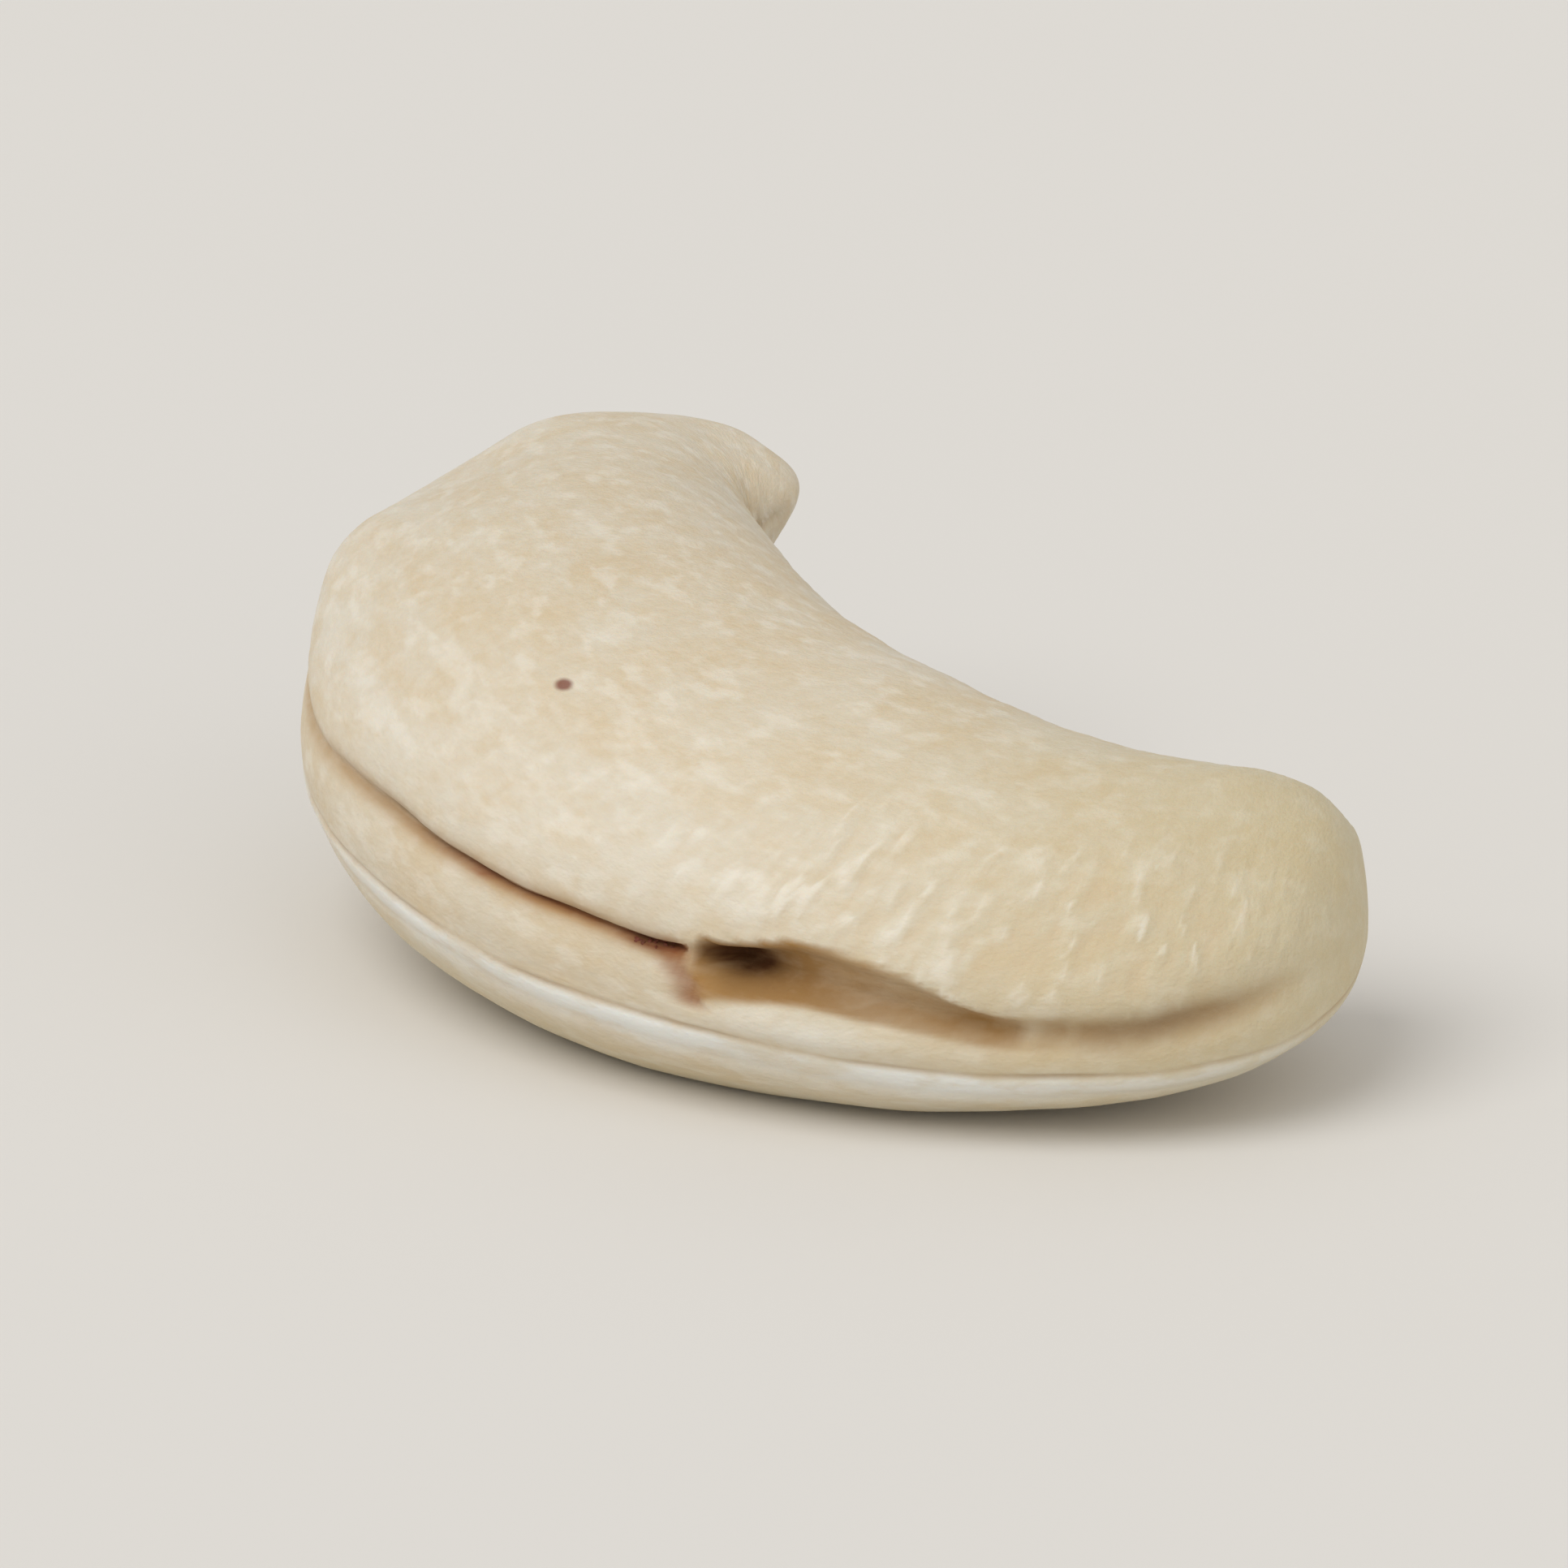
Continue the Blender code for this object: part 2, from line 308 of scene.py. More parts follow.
# How the rim fades into the flanks, and the relief into the tips.
FLANK_FADE = (0.1, 0.5)
TIP_FADE = 0.35

# Where the mesh is drawn together, for the fine lines: to the seam, the middle and the tear. The
# tear's place and width here are angles from the fat tip, in radians.
CROWD_TO_SEAM = 0.30
CROWD_TO_MIDDLE = 0.06
CROWD_TO_TEAR = 0.5
TEAR_POLAR = 1.94
TEAR_POLAR_WIDTH = 0.13

# Bits of skin: how close they lie where the flesh is marked for them, their least and greatest
# share of the crumb size each way, and the pace of the noise that tears them out of round.
CRUMBS_PER_SQUARE_METRE = 1.2e8
CRUMB_SEED = 5
CRUMB_LEAST = (0.5, 0.5, 0.2)
CRUMB_GREATEST = (1.1, 1.0, 0.4)
CRUMB_TEAR_PACE = 0.8

# Wrinkles slant a little and are long round the nut: their pace round it is a share of that
# along it. Sharp creases part them.
WRINKLE_SLANT = 0.12
WRINKLE_PACE_ROUND = 0.30
WRINKLE_TWIST = 0.6
WRINKLE_STEEPNESS = 3.4
CREASE_SHARPNESS = 5.0
CREASE_POWER = 0.6
CREASE_DEPTH = 0.25

# Patterns in the flesh: scale per millimetre along the nut, across it and through it, detail,
# the noise's values that become 0 and 1, and roughness.
PATTERNS = {
    "clouds": ((0.28, 0.40, 0.40), 4.0, 0.38, 0.66, 0.6),
    "streaks": ((0.95, 1.3, 1.3), 3.0, 0.44, 0.68, 0.5),
    "pale": ((1.3, 1.8, 1.8), 3.0, 0.48, 0.70, 0.5),
    "curd": ((3.4, 3.8, 3.8), 2.0, 0.32, 0.70, 0.5),
    "breaks": ((1.4, 2.2, 2.2), 3.0, 0.30, 0.64, 0.5),
    "fibres": ((1.6, 4.0, 4.0), 3.0, 0.2, 0.8, 0.6),
    "pits": ((9.0, 9.0, 9.0), 2.0, 0.25, 0.75, 0.5),
}

# The stage, in metres: the table, how near and far the camera sees, and where each light comes
# from, as shares of up, right and towards the camera, with its spread in degrees.
TABLE_RADIUS = 40.0
TABLE_CORNERS = 96
TABLE_SPECKS = "#C9C4BC"
HORIZON = "#DFDCD5"
SKY_TINT = (1.0, 0.985, 0.96)
SENSOR_WIDTH_MM = 36.0
CAMERA_SEES = (0.01, 100.0)
KEY_LIGHT = (1.0, -0.55, 0.55, 42.0)
FILL_LIGHT = (0.35, 0.5, 1.0, 90.0)


def linear(code):
    """The linear colour of an sRGB hex code."""
    parts = [int(code[i : i + 2], 16) / 255.0 for i in (1, 3, 5)]
    return tuple(p / 12.92 if p <= 0.04045 else ((p + 0.055) / 1.055) ** 2.4 for p in parts)


def colour(name, code, description):
    """A colour setting that starts from an sRGB hex code."""
    return FloatVectorProperty(
        name=name, description=description, subtype="COLOR", size=3, min=0.0, max=1.0,
        default=linear(code),
    )


def length(name, millimetres, description):
    """A length setting, in metres, that starts from a size in millimetres."""
    return FloatProperty(
        name=name, description=description, default=millimetres * MM, min=0.0, unit="LENGTH",
        precision=5,
    )


class CashewSizes(bpy.types.PropertyGroup):
    """Sizes of the fine relief that a user would change."""

    rings_along: IntProperty(
        name="Rings along", description="Rings of the mesh from tip to tip", default=480, min=40
    )
    points_round: IntProperty(
        name="Points round", description="Points in each ring of the mesh", default=200, min=24
    )
    crack_depth: length("Crack depth", 0.34, "Depth of the crack under the upper lobe's edge")
    crack_width: length("Crack width", 0.10, "Half width of that crack where it is sharpest")
    lobe_step: length("Lobe step", 0.15, "How far the rim lies in, under the lobe's edge")
    valley_depth: length("Valley depth", 0.34, "Depth of the groove towards the slim tip")
    split_depth: length("Split depth", 1.35, "Depth of the torn split in the rim")
    seam_depth: length("Seam depth", 0.11, "Depth of the fine seam between the seed leaves")
    ridge_height: length("Ridge height", 0.08, "Height of the pale ridge under the seam")
    fold_depth: length("Fold depth", 0.55, "Depth of the fold along the inner side")
    wrinkle_height: length("Wrinkle height", 0.088, "Height of the wrinkles across the lobe")
    wrinkle_spacing: length("Wrinkle spacing", 0.32, "Distance from wrinkle to wrinkle")
    lump_height: length("Lump height", 0.14, "Height of the low lumps all over the flesh")
    lump_size: length("Lump size", 2.6, "Distance from lump to lump")
    crumb_size: length("Crumb size", 0.08, "Radius of the bits of skin in the rim")


class CashewColours(bpy.types.PropertyGroup):
    """Colours of the flesh and its stains."""

    cream: colour("Cream", "#D7CBB4", "Most of the flesh")
    # Milk on the wrinkles' crests is a painted highlight.
    milk: colour("Milk", "#ECE6D8", "Its palest streaks, and the crests of wrinkles")
    # Beige in the wrinkles' valleys is painted shade.
    beige: colour("Beige", "#D3BE9A", "Streaks and clouds in the flesh")
    # Olive is partly the thin flesh's tone and partly painted shade, towards the slim tip and low
    # on the underside.
    olive: colour("Olive", "#C8BA90", "Where the flesh is thin and lets light through")
    chalk: colour("Chalk", "#EBECE8", "The chalky band along the seam")
    stain: colour("Stain", "#A8814C", "The stain along the groove")
    rust: colour("Rust", "#8F5535", "The line of the crack, and torn edges")
    # Dark is painted shade in the crack, the split, the valley and the fold, and the darker specks
    # of the dried skin.
    dark: colour("Dark", "#4A2600", "Inside the split")
    skin: colour("Skin", "#7A3826", "Bits of brown skin")
    floor: colour("Floor", "#E4E1DC", "The table")


class CashewStage(bpy.types.PropertyGroup):
    """Camera and light."""

    azimuth: FloatProperty(
        name="Azimuth", description="Camera's turn round the nut", subtype="ANGLE",
        default=math.radians(48.0),
    )
    elevation: FloatProperty(
        name="Elevation", description="Camera's height over the table", subtype="ANGLE",
        default=math.radians(21.0),
    )
    lens: FloatProperty(
        name="Lens", description="Focal length, long as in the photograph", unit="CAMERA",
        default=400.0,
    )
    picture_width: length("Picture width", 37.0, "Width of the picture at the nut")
    key_strength: FloatProperty(
        name="Key strength", description="Strength of the soft main light", default=1.31, min=0.0
    )
    fill_strength: FloatProperty(
        name="Fill strength", description="Strength of the soft low light", default=0.44, min=0.0
    )
    sky_strength: FloatProperty(
        name="Sky strength", description="Strength of the even light", default=0.56, min=0.0
    )


def through(stations, place):
    """The smooth curve through evenly spaced stations, read at places from 0 to 1."""
    stations = np.array(stations, dtype=float)
    marks = np.linspace(0.0, 1.0, len(stations))
    total = 0.0
    for mark, station in zip(marks, stations):
        weight = np.ones_like(place)
        for other in marks:
            if other != mark:
                weight = weight * (place - other) / (mark - other)
        total = total + weight[:, None] * np.atleast_1d(station)
    return total


def hump(distance, half_width):
    """A soft rounded hump, 1 in its middle and nearly 0 past twice its half width."""
    return np.exp(-((distance / half_width) ** 2))


def band(value, middle, half_width):
    """A soft hump about a middle value."""
    return hump(value - middle, half_width)


def hump_round(turn, middle_deg, half_width_deg):
    """A soft hump round the nut, about a turn that is given in degrees."""
    apart = np.angle(np.exp(1j * (turn - math.radians(middle_deg))))
    return hump(apart, math.radians(half_width_deg))


def step(value, low, high):
    """0 below low, 1 above high, with a soft S between."""
    share = np.clip((value - low) / (high - low), 0.0, 1.0)
    return share * share * (3.0 - 2.0 * share)


def fall(value, low, high):
    """1 below low, 0 above high, with a soft S between."""
    return 1.0 - step(value, low, high)


def grow(value, span, least):
    """From a least share to 1, with a soft S over the span."""
    return least + (1.0 - least) * step(value, *span)


def wander(along, waves):
    """An uneven course along the nut, the sum of a few waves."""
    return sum(size * np.sin(pace * along + start) for size, pace, start in waves)


def patchy(along, mean, swing, first, second):
    """An uneven strength along the nut, as two waves beat."""
    (pace, start), (other_pace, other_start) = first, second
    return mean + swing * np.sin(pace * along + start) * np.sin(other_pace * along + other_start)


def along_and_turn(ball):
    """Each ball point's place along the nut, -1 to 1, and its turn round it from the back."""
    polar = np.arccos(np.clip(ball[:, 2], -1.0, 1.0))
    away = (polar - TEAR_POLAR) / TEAR_POLAR_WIDTH
    polar = polar - CROWD_TO_TEAR * TEAR_POLAR_WIDTH * away * np.exp(-0.5 * away * away)
    polar = polar - CROWD_TO_MIDDLE * np.sin(2.0 * polar)
    turn = np.arctan2(ball[:, 1], ball[:, 0])
    turn = turn - CROWD_TO_SEAM * np.sin(2.0 * turn)
    return -np.cos(polar), turn


def tip_rounding(along):
    """How much of the full section is left, 1 at the middle and 0 at the tips."""
    bluntness = np.where(along < 0.0, FAT_TIP_BLUNTNESS, SLIM_TIP_BLUNTNESS)
    return np.sqrt(np.clip(1.0 - np.abs(along) ** bluntness, 0.0, 1.0))


def rim_line(height, reach):
    """The height of a line round the rim, drawn in to the seam where the nut is thin."""
    return height * reach / np.hypot(reach, DRAWN_IN_BY_THINNESS * height)


def groove_height(along):
    """The height of the groove's middle above the plane of the seam, along the nut."""
    height = GROOVE_HEIGHT + GROOVE_CLIMB * step(along, *GROOVE_CLIMBS_AT)
    height = height - GROOVE_DROP * step(along, *GROOVE_DROPS_AT)
    return height + GROOVE_SECOND_CLIMB * step(along, *GROOVE_CLIMBS_AGAIN_AT)


class Rim:
    """Where each point lies between the lines round the rim, in millimetres."""

    def __init__(self, along, height, reach):
        sag = SEAM_SAG * fall(along, *SEAM_SAG_ENDS)
        self.along = along
        self.height = height
        self.groove = rim_line(groove_height(along), reach) + wander(along, GROOVE_WANDER)
        self.seam = rim_line(SEAM_HEIGHT - sag, reach) + wander(along, SEAM_WANDER)
        self.ridge = rim_line(RIDGE_HEIGHT - sag, reach) + wander(along, SEAM_WANDER)
        self.above = height - self.groove

    def either(self, over, under):
        """The first value over the groove's middle, and the second under it."""
        return np.where(self.above > 0.0, over, under)

    def patch(self, along_band, above_band):
        """A soft spot, about a place along the nut and a height over the groove."""
        return band(self.along, *along_band) * band(self.above, *above_band)


def closed_crack(rim, sizes):
    """The step under the lobe's edge, and the crack in it, deeper from the fat end to the tear."""
    closed = fall(rim.along, *CRACK_ENDS)
    open_here = step(rim.along, *CRACK_STARTS) * closed
    deep = grow(rim.along, CRACK_DEEPENS, CRACK_LEAST)
    width = (sizes.crack_width / MM) * (1.0 + CRACK_WIDER_WHERE_LEAST * (1.0 - deep))
    over, under = STEP_HALF_WIDTHS
    inset = rim.either(hump(rim.above, over), np.exp(np.minimum(rim.above, 0.0) / under))
    full = grow(rim.along, LOBE_EDGE_FILLS, LOBE_EDGE_LEAST)
    swell = full * LOBE_EDGE_HEIGHT * band(rim.above, *LOBE_EDGE_BAND)
    past = STEP_PAST_CRACK + (1.0 - STEP_PAST_CRACK) * closed
    swell -= full * (sizes.lobe_step / MM) * inset * past
    sunk = hump(rim.above + CRACK_UNDER_GROOVE, width)
    swell -= (sizes.crack_depth / MM) * deep * open_here * sunk
    droop = -LOBE_DROOP * deep * open_here * band(rim.above, *LOBE_DROOP_BAND)

    line = open_here * hump(rim.above + CRACK_LINE_UNDER_GROOVE, width * CRACK_LINE_WIDTH)
    from_stain = rim.above + CRACK_STAIN_UNDER_GROOVE
    stain = open_here * hump(from_stain, np.where(from_stain > 0.0, *CRACK_STAIN_HALF_WIDTHS))
    spot = rim.patch(*RUST_SPOT)
    rust = CRACK_LINE_RUST * line * step(rim.along, *CRACK_RUSTS)
    return swell, droop, {
        "stain": stain * (CRACK_STAIN + CRACK_STAIN_MORE_WHERE_DEEP * deep),
        # Painted shade down the crack's line, and on the rust spot at its end.
        "dark": CRACK_LINE_SHADE * deep * line + RUST_SPOT_SHADE * spot,
        "rust": rust + spot + rim.patch(*RUST_SMEAR),
        "crumbs": rim.patch(*CRUMB_PATCH),
    }


def open_valley(rim, sizes):
    """The broad valley that the groove becomes past the split."""
    valley = step(rim.along, *VALLEY_STARTS) * fall(rim.along, *VALLEY_ENDS)
    bridge = sum(
        strength * band(rim.along, place, half_length)
        for place, half_length, strength in VALLEY_BRIDGES
    )
    hollow = hump(rim.above, rim.either(*VALLEY_HALF_WIDTHS))
    depth = (sizes.valley_depth / MM) * (1.0 - BRIDGE_HEIGHT_SHARE * bridge)
    stained = hump(rim.above, rim.either(*VALLEY_STAIN_HALF_WIDTHS))
    return -depth * valley * hollow, 0.0, {
        "stain": VALLEY_STAIN * valley * stained * (1.0 - BRIDGE_PALENESS * bridge),
        # Painted shade in the valley's hollow.
        "dark": VALLEY_SHADE * band(rim.along, *VALLEY_SHADE_BAND) * hollow,
    }


def torn_split(rim, sizes):
    """A slanting tear in the rim, a flap past it, and the hole that runs out along the valley."""
    uneven = wander(rim.height, TEAR_WANDER)
    run = np.maximum(rim.along - HOLE_PLACE, 0.0)
    ragged = rim.along - HOLE_PLACE - uneven
    closing = fall(rim.along, *HOLE_CLOSES)
    end = HOLE_END_LENGTH + HOLE_END_LONGER_BELOW * np.clip(-rim.above, 0.0, 1.0)
    opened = step(ragged, HOLE_END_STARTS, end) * closing

    under = HOLE_REACH_UNDER + HOLE_MORE_UNDER * np.exp(-run / HOLE_MORE_UNDER_RUNS_OUT)
    more_over = step(rim.along, *HOLE_OPENS_UP) * fall(rim.along, *HOLE_DRAWS_IN)
    over = HOLE_REACH_OVER + HOLE_MORE_OVER * more_over
    share = np.abs(rim.above) / rim.either(over, under)
    wall_under = fall(share, *HOLE_WALL_UNDER) / fall(0.0, *HOLE_WALL_UNDER)
    wall = rim.either(fall(share, *HOLE_WALL_OVER), wall_under)
    kept = HOLE_DEPTH_KEPT + (1.0 - HOLE_DEPTH_KEPT) * np.exp(-run / HOLE_DEPTH_RUNS_OUT)
    swell = -(sizes.split_depth / MM) * opened * wall * kept
    lip = np.exp(-run / HOLE_LIP_RUNS_OUT) * band(rim.above, over, HOLE_LIP_HALF_WIDTH)
    droop = -HOLE_LIP_DROOP * opened * lip

    on_rim = step(rim.height, *TEAR_FADES_OVER_SEAM) * fall(rim.above, *TEAR_FADES_OVER_GROOVE)
    from_tear = rim.along - TEAR_PLACE - TEAR_SLANT * (rim.height - TEAR_LEVEL) - uneven
    flap = step(from_tear, *FLAP_STARTS) * fall(ragged, *FLAP_ENDS) * on_rim
    swell -= TEAR_DEPTH * hump(from_tear, TEAR_HALF_LENGTH) * on_rim * (1.0 - opened)
    swell -= FLAP_DEPTH * flap
    strip_middle = 0.5 * (rim.seam + rim.groove - under)
    bulge = band(rim.along, *BULGE_LENGTH_BAND) * band(rim.height, strip_middle, BULGE_HALF_WIDTH)
    swell += BULGE_HEIGHT * bulge

    inside = step(ragged, *HOLE_STAIN_STARTS) * closing
    inside *= rim.either(fall(share, *HOLE_STAIN_OVER), fall(share, *HOLE_STAIN_UNDER))
    torn = hump(from_tear, TEAR_MARK_HALF_LENGTH) * on_rim
    stain = inside * (1.0 - HOLE_PALENESS * step(run, *HOLE_PALER_AT))
    pit = PIT_SHADE * band(ragged, *PIT_LENGTH_BAND) * band(rim.above, *PIT_HEIGHT_BAND)
    shade = HOLE_SHADE * step(ragged, *HOLE_SHADE_STARTS) * np.exp(-run / HOLE_SHADE_RUNS_OUT)
    return swell, droop, {
        "stain": stain + FLAP_STAIN * flap + TEAR_STAIN * torn,
        # Painted shade in the split's pit and along the hole.
        "dark": inside * (pit + shade * band(rim.above, *HOLE_SHADE_BAND)),
        "rust": TEAR_RUST * torn,
        "chalk": BULGE_CHALK * bulge * (1.0 - inside),
    }


def seam_and_ridge(rim, sizes):
    """The strip under the groove, the fine seam, and the chalky ridge under that."""
    strip = STRIP_SHARE * (rim.groove - rim.seam) + STRIP_LEAST_HALF_WIDTH
    swell = STRIP_HEIGHT * band(rim.height, 0.5 * (rim.groove + rim.seam), strip)
    cleft = patchy(rim.along, *SEAM_UNEVEN)
    swell -= (sizes.seam_depth / MM) * cleft * band(rim.height, rim.seam, SEAM_HALF_WIDTH)
    uneven = patchy(rim.along, *CHALK_UNEVEN)
    over_ridge = rim.height - rim.ridge
    swell += (sizes.ridge_height / MM) * uneven * band(over_ridge, *RIDGE_BAND)
    swell -= UNDERCUT_DEPTH * band(over_ridge, *UNDERCUT_BAND)

    under_seam = rim.seam - rim.height
    chalk = step(under_seam, *CHALK_STARTS_UNDER_SEAM) * fall(under_seam, *CHALK_ENDS_UNDER_SEAM)
    chalk *= grow(rim.along, CHALK_GROWS, CHALK_LEAST)
    chalk *= 1.0 - CHALK_WANES_BY * step(rim.along, *CHALK_WANES)
    chalk += RIDGE_CHALK * hump(over_ridge, RIDGE_CHALK_HALF_WIDTH)
    lobe = LOBE_CHALK * band(rim.above, *LOBE_CHALK_BAND) * fall(rim.along, *LOBE_CHALK_ENDS)
    return swell, 0.0, {
        "chalk": chalk * uneven + lobe,
        "seam": cleft * band(rim.height, rim.seam, SEAM_STAIN_HALF_WIDTH),
    }


def rim_relief(along, height, reach, sizes):
    """The rim's swell and droop on the convex back, and how strongly each stain and painted shade
    marks it.
    """
    rim = Rim(along, height, reach)
    swell = np.zeros_like(along)
    droop = np.zeros_like(along)
    marks = {name: np.zeros_like(along) for name in MARKS}
    for form in (closed_crack, open_valley, torn_split, seam_and_ridge):
        form_swell, form_droop, form_marks = form(rim, sizes)
        swell += form_swell
        droop += form_droop
        for name, strength in form_marks.items():
            marks[name] += strength
    return swell, droop, {name: np.clip(strength, 0.0, 1.0) for name, strength in marks.items()}


def crook_relief(along, height, sizes):
    """Swell and marks of the inner side: a wandering fold along the seam, between soft lips."""
    level = height + wander(along, CROOK_WANDER)
    lip = 0.5 * FOLD_LIPS_APART
    lips = band(level, lip, FOLD_LIP_HALF_WIDTH) + band(level, -lip, FOLD_LIP_HALF_WIDTH)
    fold = hump(level, FOLD_HALF_WIDTH)
    depth = (sizes.fold_depth / MM) * grow(along, FOLD_STARTS, FOLD_LEAST)
    begun = step(along, *FOLD_STARTS)
    here_and_there = step(np.sin(FOLD_RUST_PACE * along), *FOLD_RUST_SPAN)
    return FOLD_LIP_HEIGHT * lips - depth * fold, {
        "stain": FOLD_STAIN * fold * begun,
        # Painted shade down the fold's middle.
        "dark": FOLD_SHADE * hump(level, FOLD_SHADE_HALF_WIDTH) * begun,
        "rust": FOLD_RUST * hump(level, FOLD_RUST_HALF_WIDTH) * begun * here_and_there,
    }


def dents(along, turn, listed):
    """Shallow dents and swellings of the two lobes."""
    swell = np.zeros_like(along)
    for place, angle, half_length, half_width, size in listed:
        swell += size * hump(along - place, half_length) * hump_round(turn, angle, half_width)
    return swell


def wrinkling(along, turn):
    """How wrinkled the flesh is: most across the lobe's edge, and a little on the inner side."""
    start, rest = WRINKLES_START_SHARE, 1.0 - WRINKLES_START_SHARE
    lobe = start * step(along, *WRINKLES_START) + rest * step(along, *WRINKLES_GROW)
    lobe *= 1.0 - WRINKLES_FADE_BY * step(along, *WRINKLES_FADE)
    inner = CROOK_WRINKLES_SHARE * hump_round(turn, *CROOK_WRINKLES)
    return lobe * hump_round(turn, *LOBE_WRINKLES) + inner


def nut_points(ball, sizes):
    """The nut's surface in its own frame, its plain form, its unbent form and its marks."""
    along, turn = along_and_turn(ball)
    place = (along + 1.0) / 2.0
    rounding = tip_rounding(along)
    above = through(THICK_ABOVE_SEAM, place)[:, 0]
    below = through(THICK_BELOW_SEAM, place)[:, 0]
    reach = np.where(np.sin(turn) > 0.0, above, below) * rounding
    height = reach * np.sin(turn)
    to_back = through(MIDDLE_TO_BACK, place)
    breadth = np.linalg.norm(to_back, axis=1)

    near_tip = step(rounding, 0.0, TIP_FADE)
    on_back = step(np.cos(turn), *FLANK_FADE) * near_tip
    on_crook = step(-np.cos(turn), *FLANK_FADE) * near_tip
    rim, droop, rim_marks = rim_relief(along, height, reach, sizes)
    inner, fold_marks = crook_relief(along, height, sizes)
    plain = dents(along, turn, DENTS) * near_tip
    swell = plain + on_back * rim + on_crook * inner + dents(along, turn, FINER_DENTS)

    def surface(swell, droop=0.0):
        sideways = np.cos(turn)
        sideways = np.where(sideways < 0.0, -np.abs(sideways) ** CROOK_FULLNESS, sideways)
        out = (breadth * rounding + swell) * sideways / breadth
        flat = through(MIDDLE_LINE, place) + to_back * out[:, None]
        tip_way = np.array(MIDDLE_LINE[0]) - through(MIDDLE_LINE, np.array([GERM_AIMS_FROM]))[0]
        germ = GERM_REACH * hump(rounding, GERM_WIDTH) * (along < 0.0)
        flat = flat + np.outer(germ, tip_way / np.linalg.norm(tip_way))
        rise = through(MIDDLE_RISE, place)[:, 0]
        return np.column_stack([flat, rise + (reach + swell) * np.sin(turn) + droop])

    marks = {
        name: on_back * rim_marks[name] + on_crook * fold_marks.get(name, 0.0) for name in MARKS
    }
    marks["chalk"] *= step(rounding, *CHALK_ROUNDS_OFF)
    marks["wrinkled"] = wrinkling(along, turn) * near_tip * (1.0 - marks["stain"])
    # Olive is painted shade low on the underside, and thin flesh with painted shade towards the
    # slim tip.
    painted_shade_below = PAINTED_SHADE_UNDER_SEAM_SHARE * step(-height, *PAINTED_SHADE_UNDER_SEAM)
    marks["thin"] = np.maximum(step(along, *THIN_AND_SHADED_ALONG), painted_shade_below)
    straight = np.column_stack(
        [along * HALF_LENGTH, breadth * rounding * np.cos(turn), reach * np.sin(turn)]
    )
    return surface(swell, droop * on_back), surface(plain), straight, marks


def lay_down(points, plain):
    """Lean the nut over and press its lowest part flat, as its plain form is laid."""
    lean = math.radians(LEAN_DEG)
    side = math.radians(LEAN_TOWARDS_DEG)
    axis = np.array([math.cos(side), math.sin(side), 0.0])

    def leaned(p):
        turned = p * math.cos(lean) + np.cross(axis, p) * math.sin(lean)
        return turned + np.outer(p @ axis, axis) * (1.0 - math.cos(lean))

    laid = leaned(points)
    lift = np.maximum(laid[:, 2] - leaned(plain)[:, 2].min() - FLAT_SPOT_CUT, 0.0)
    laid[:, 2] = lift * lift / (lift + FLAT_SPOT_SOFTNESS)
    low, high = (np.array(corner) / MM for corner in SOLID_BOX)
    laid[:, :2] += (0.5 * (low + high) - 0.5 * (laid.min(axis=0) + laid.max(axis=0)))[:2]
    return laid


def add(tree, kind, inputs=None, **settings):
    """Add a node, with its settings, and with each input linked or given its value.

    A node that is given for an input is linked by its first output.
    """
    made = tree.nodes.new(kind)
    for name, value in settings.items():
        setattr(made, name, value)
    for key, value in (inputs or {}).items():
        if isinstance(value, bpy.types.Node):
            value = value.outputs[0]
        if isinstance(value, bpy.types.NodeSocket):
            tree.links.new(value, made.inputs[key])
        else:
            made.inputs[key].default_value = value
    return made


def new_tree(name, **inputs):
    """A geometry node tree with the given inputs, and its input and output nodes."""
    tree = bpy.data.node_groups.new(name, "GeometryNodeTree")
    for title, kind in {"Geometry": "Geometry", **inputs}.items():
        title = title.replace("_", " ").title()
        tree.interface.new_socket(title, in_out="INPUT", socket_type="NodeSocket" + kind)
    tree.interface.new_socket("Geometry", in_out="OUTPUT", socket_type="NodeSocketGeometry")
    return tree, add(tree, "NodeGroupInput").outputs, add(tree, "NodeGroupOutput").inputs


def realise(tree, geometry, material, output):
    """End the tree: its instances made real, and dressed in the material."""
    whole = add(tree, "GeometryNodeRealizeInstances", {0: geometry})
    dressed = add(tree, "GeometryNodeSetMaterial", {"Geometry": whole, "Material": material})
    tree.links.new(dressed.outputs[0], output)


def run_tree(item, tree, values):
    """Give the object what the tree makes of its mesh, and leave no modifier on it."""
    modifier = item.modifiers.new(tree.name, "NODES")
    modifier.node_group = tree
    for socket in tree.interface.items_tree:
        if socket.in_out == "INPUT" and socket.name in values:
            modifier[socket.identifier] = values[socket.name]
    seen = bpy.context.evaluated_depsgraph_get()
    mesh = bpy.data.meshes.new_from_object(
        item.evaluated_get(seen), preserve_all_data_layers=True, depsgraph=seen
    )
    mesh.name = item.name
    item.modifiers.clear()
    item.data = mesh


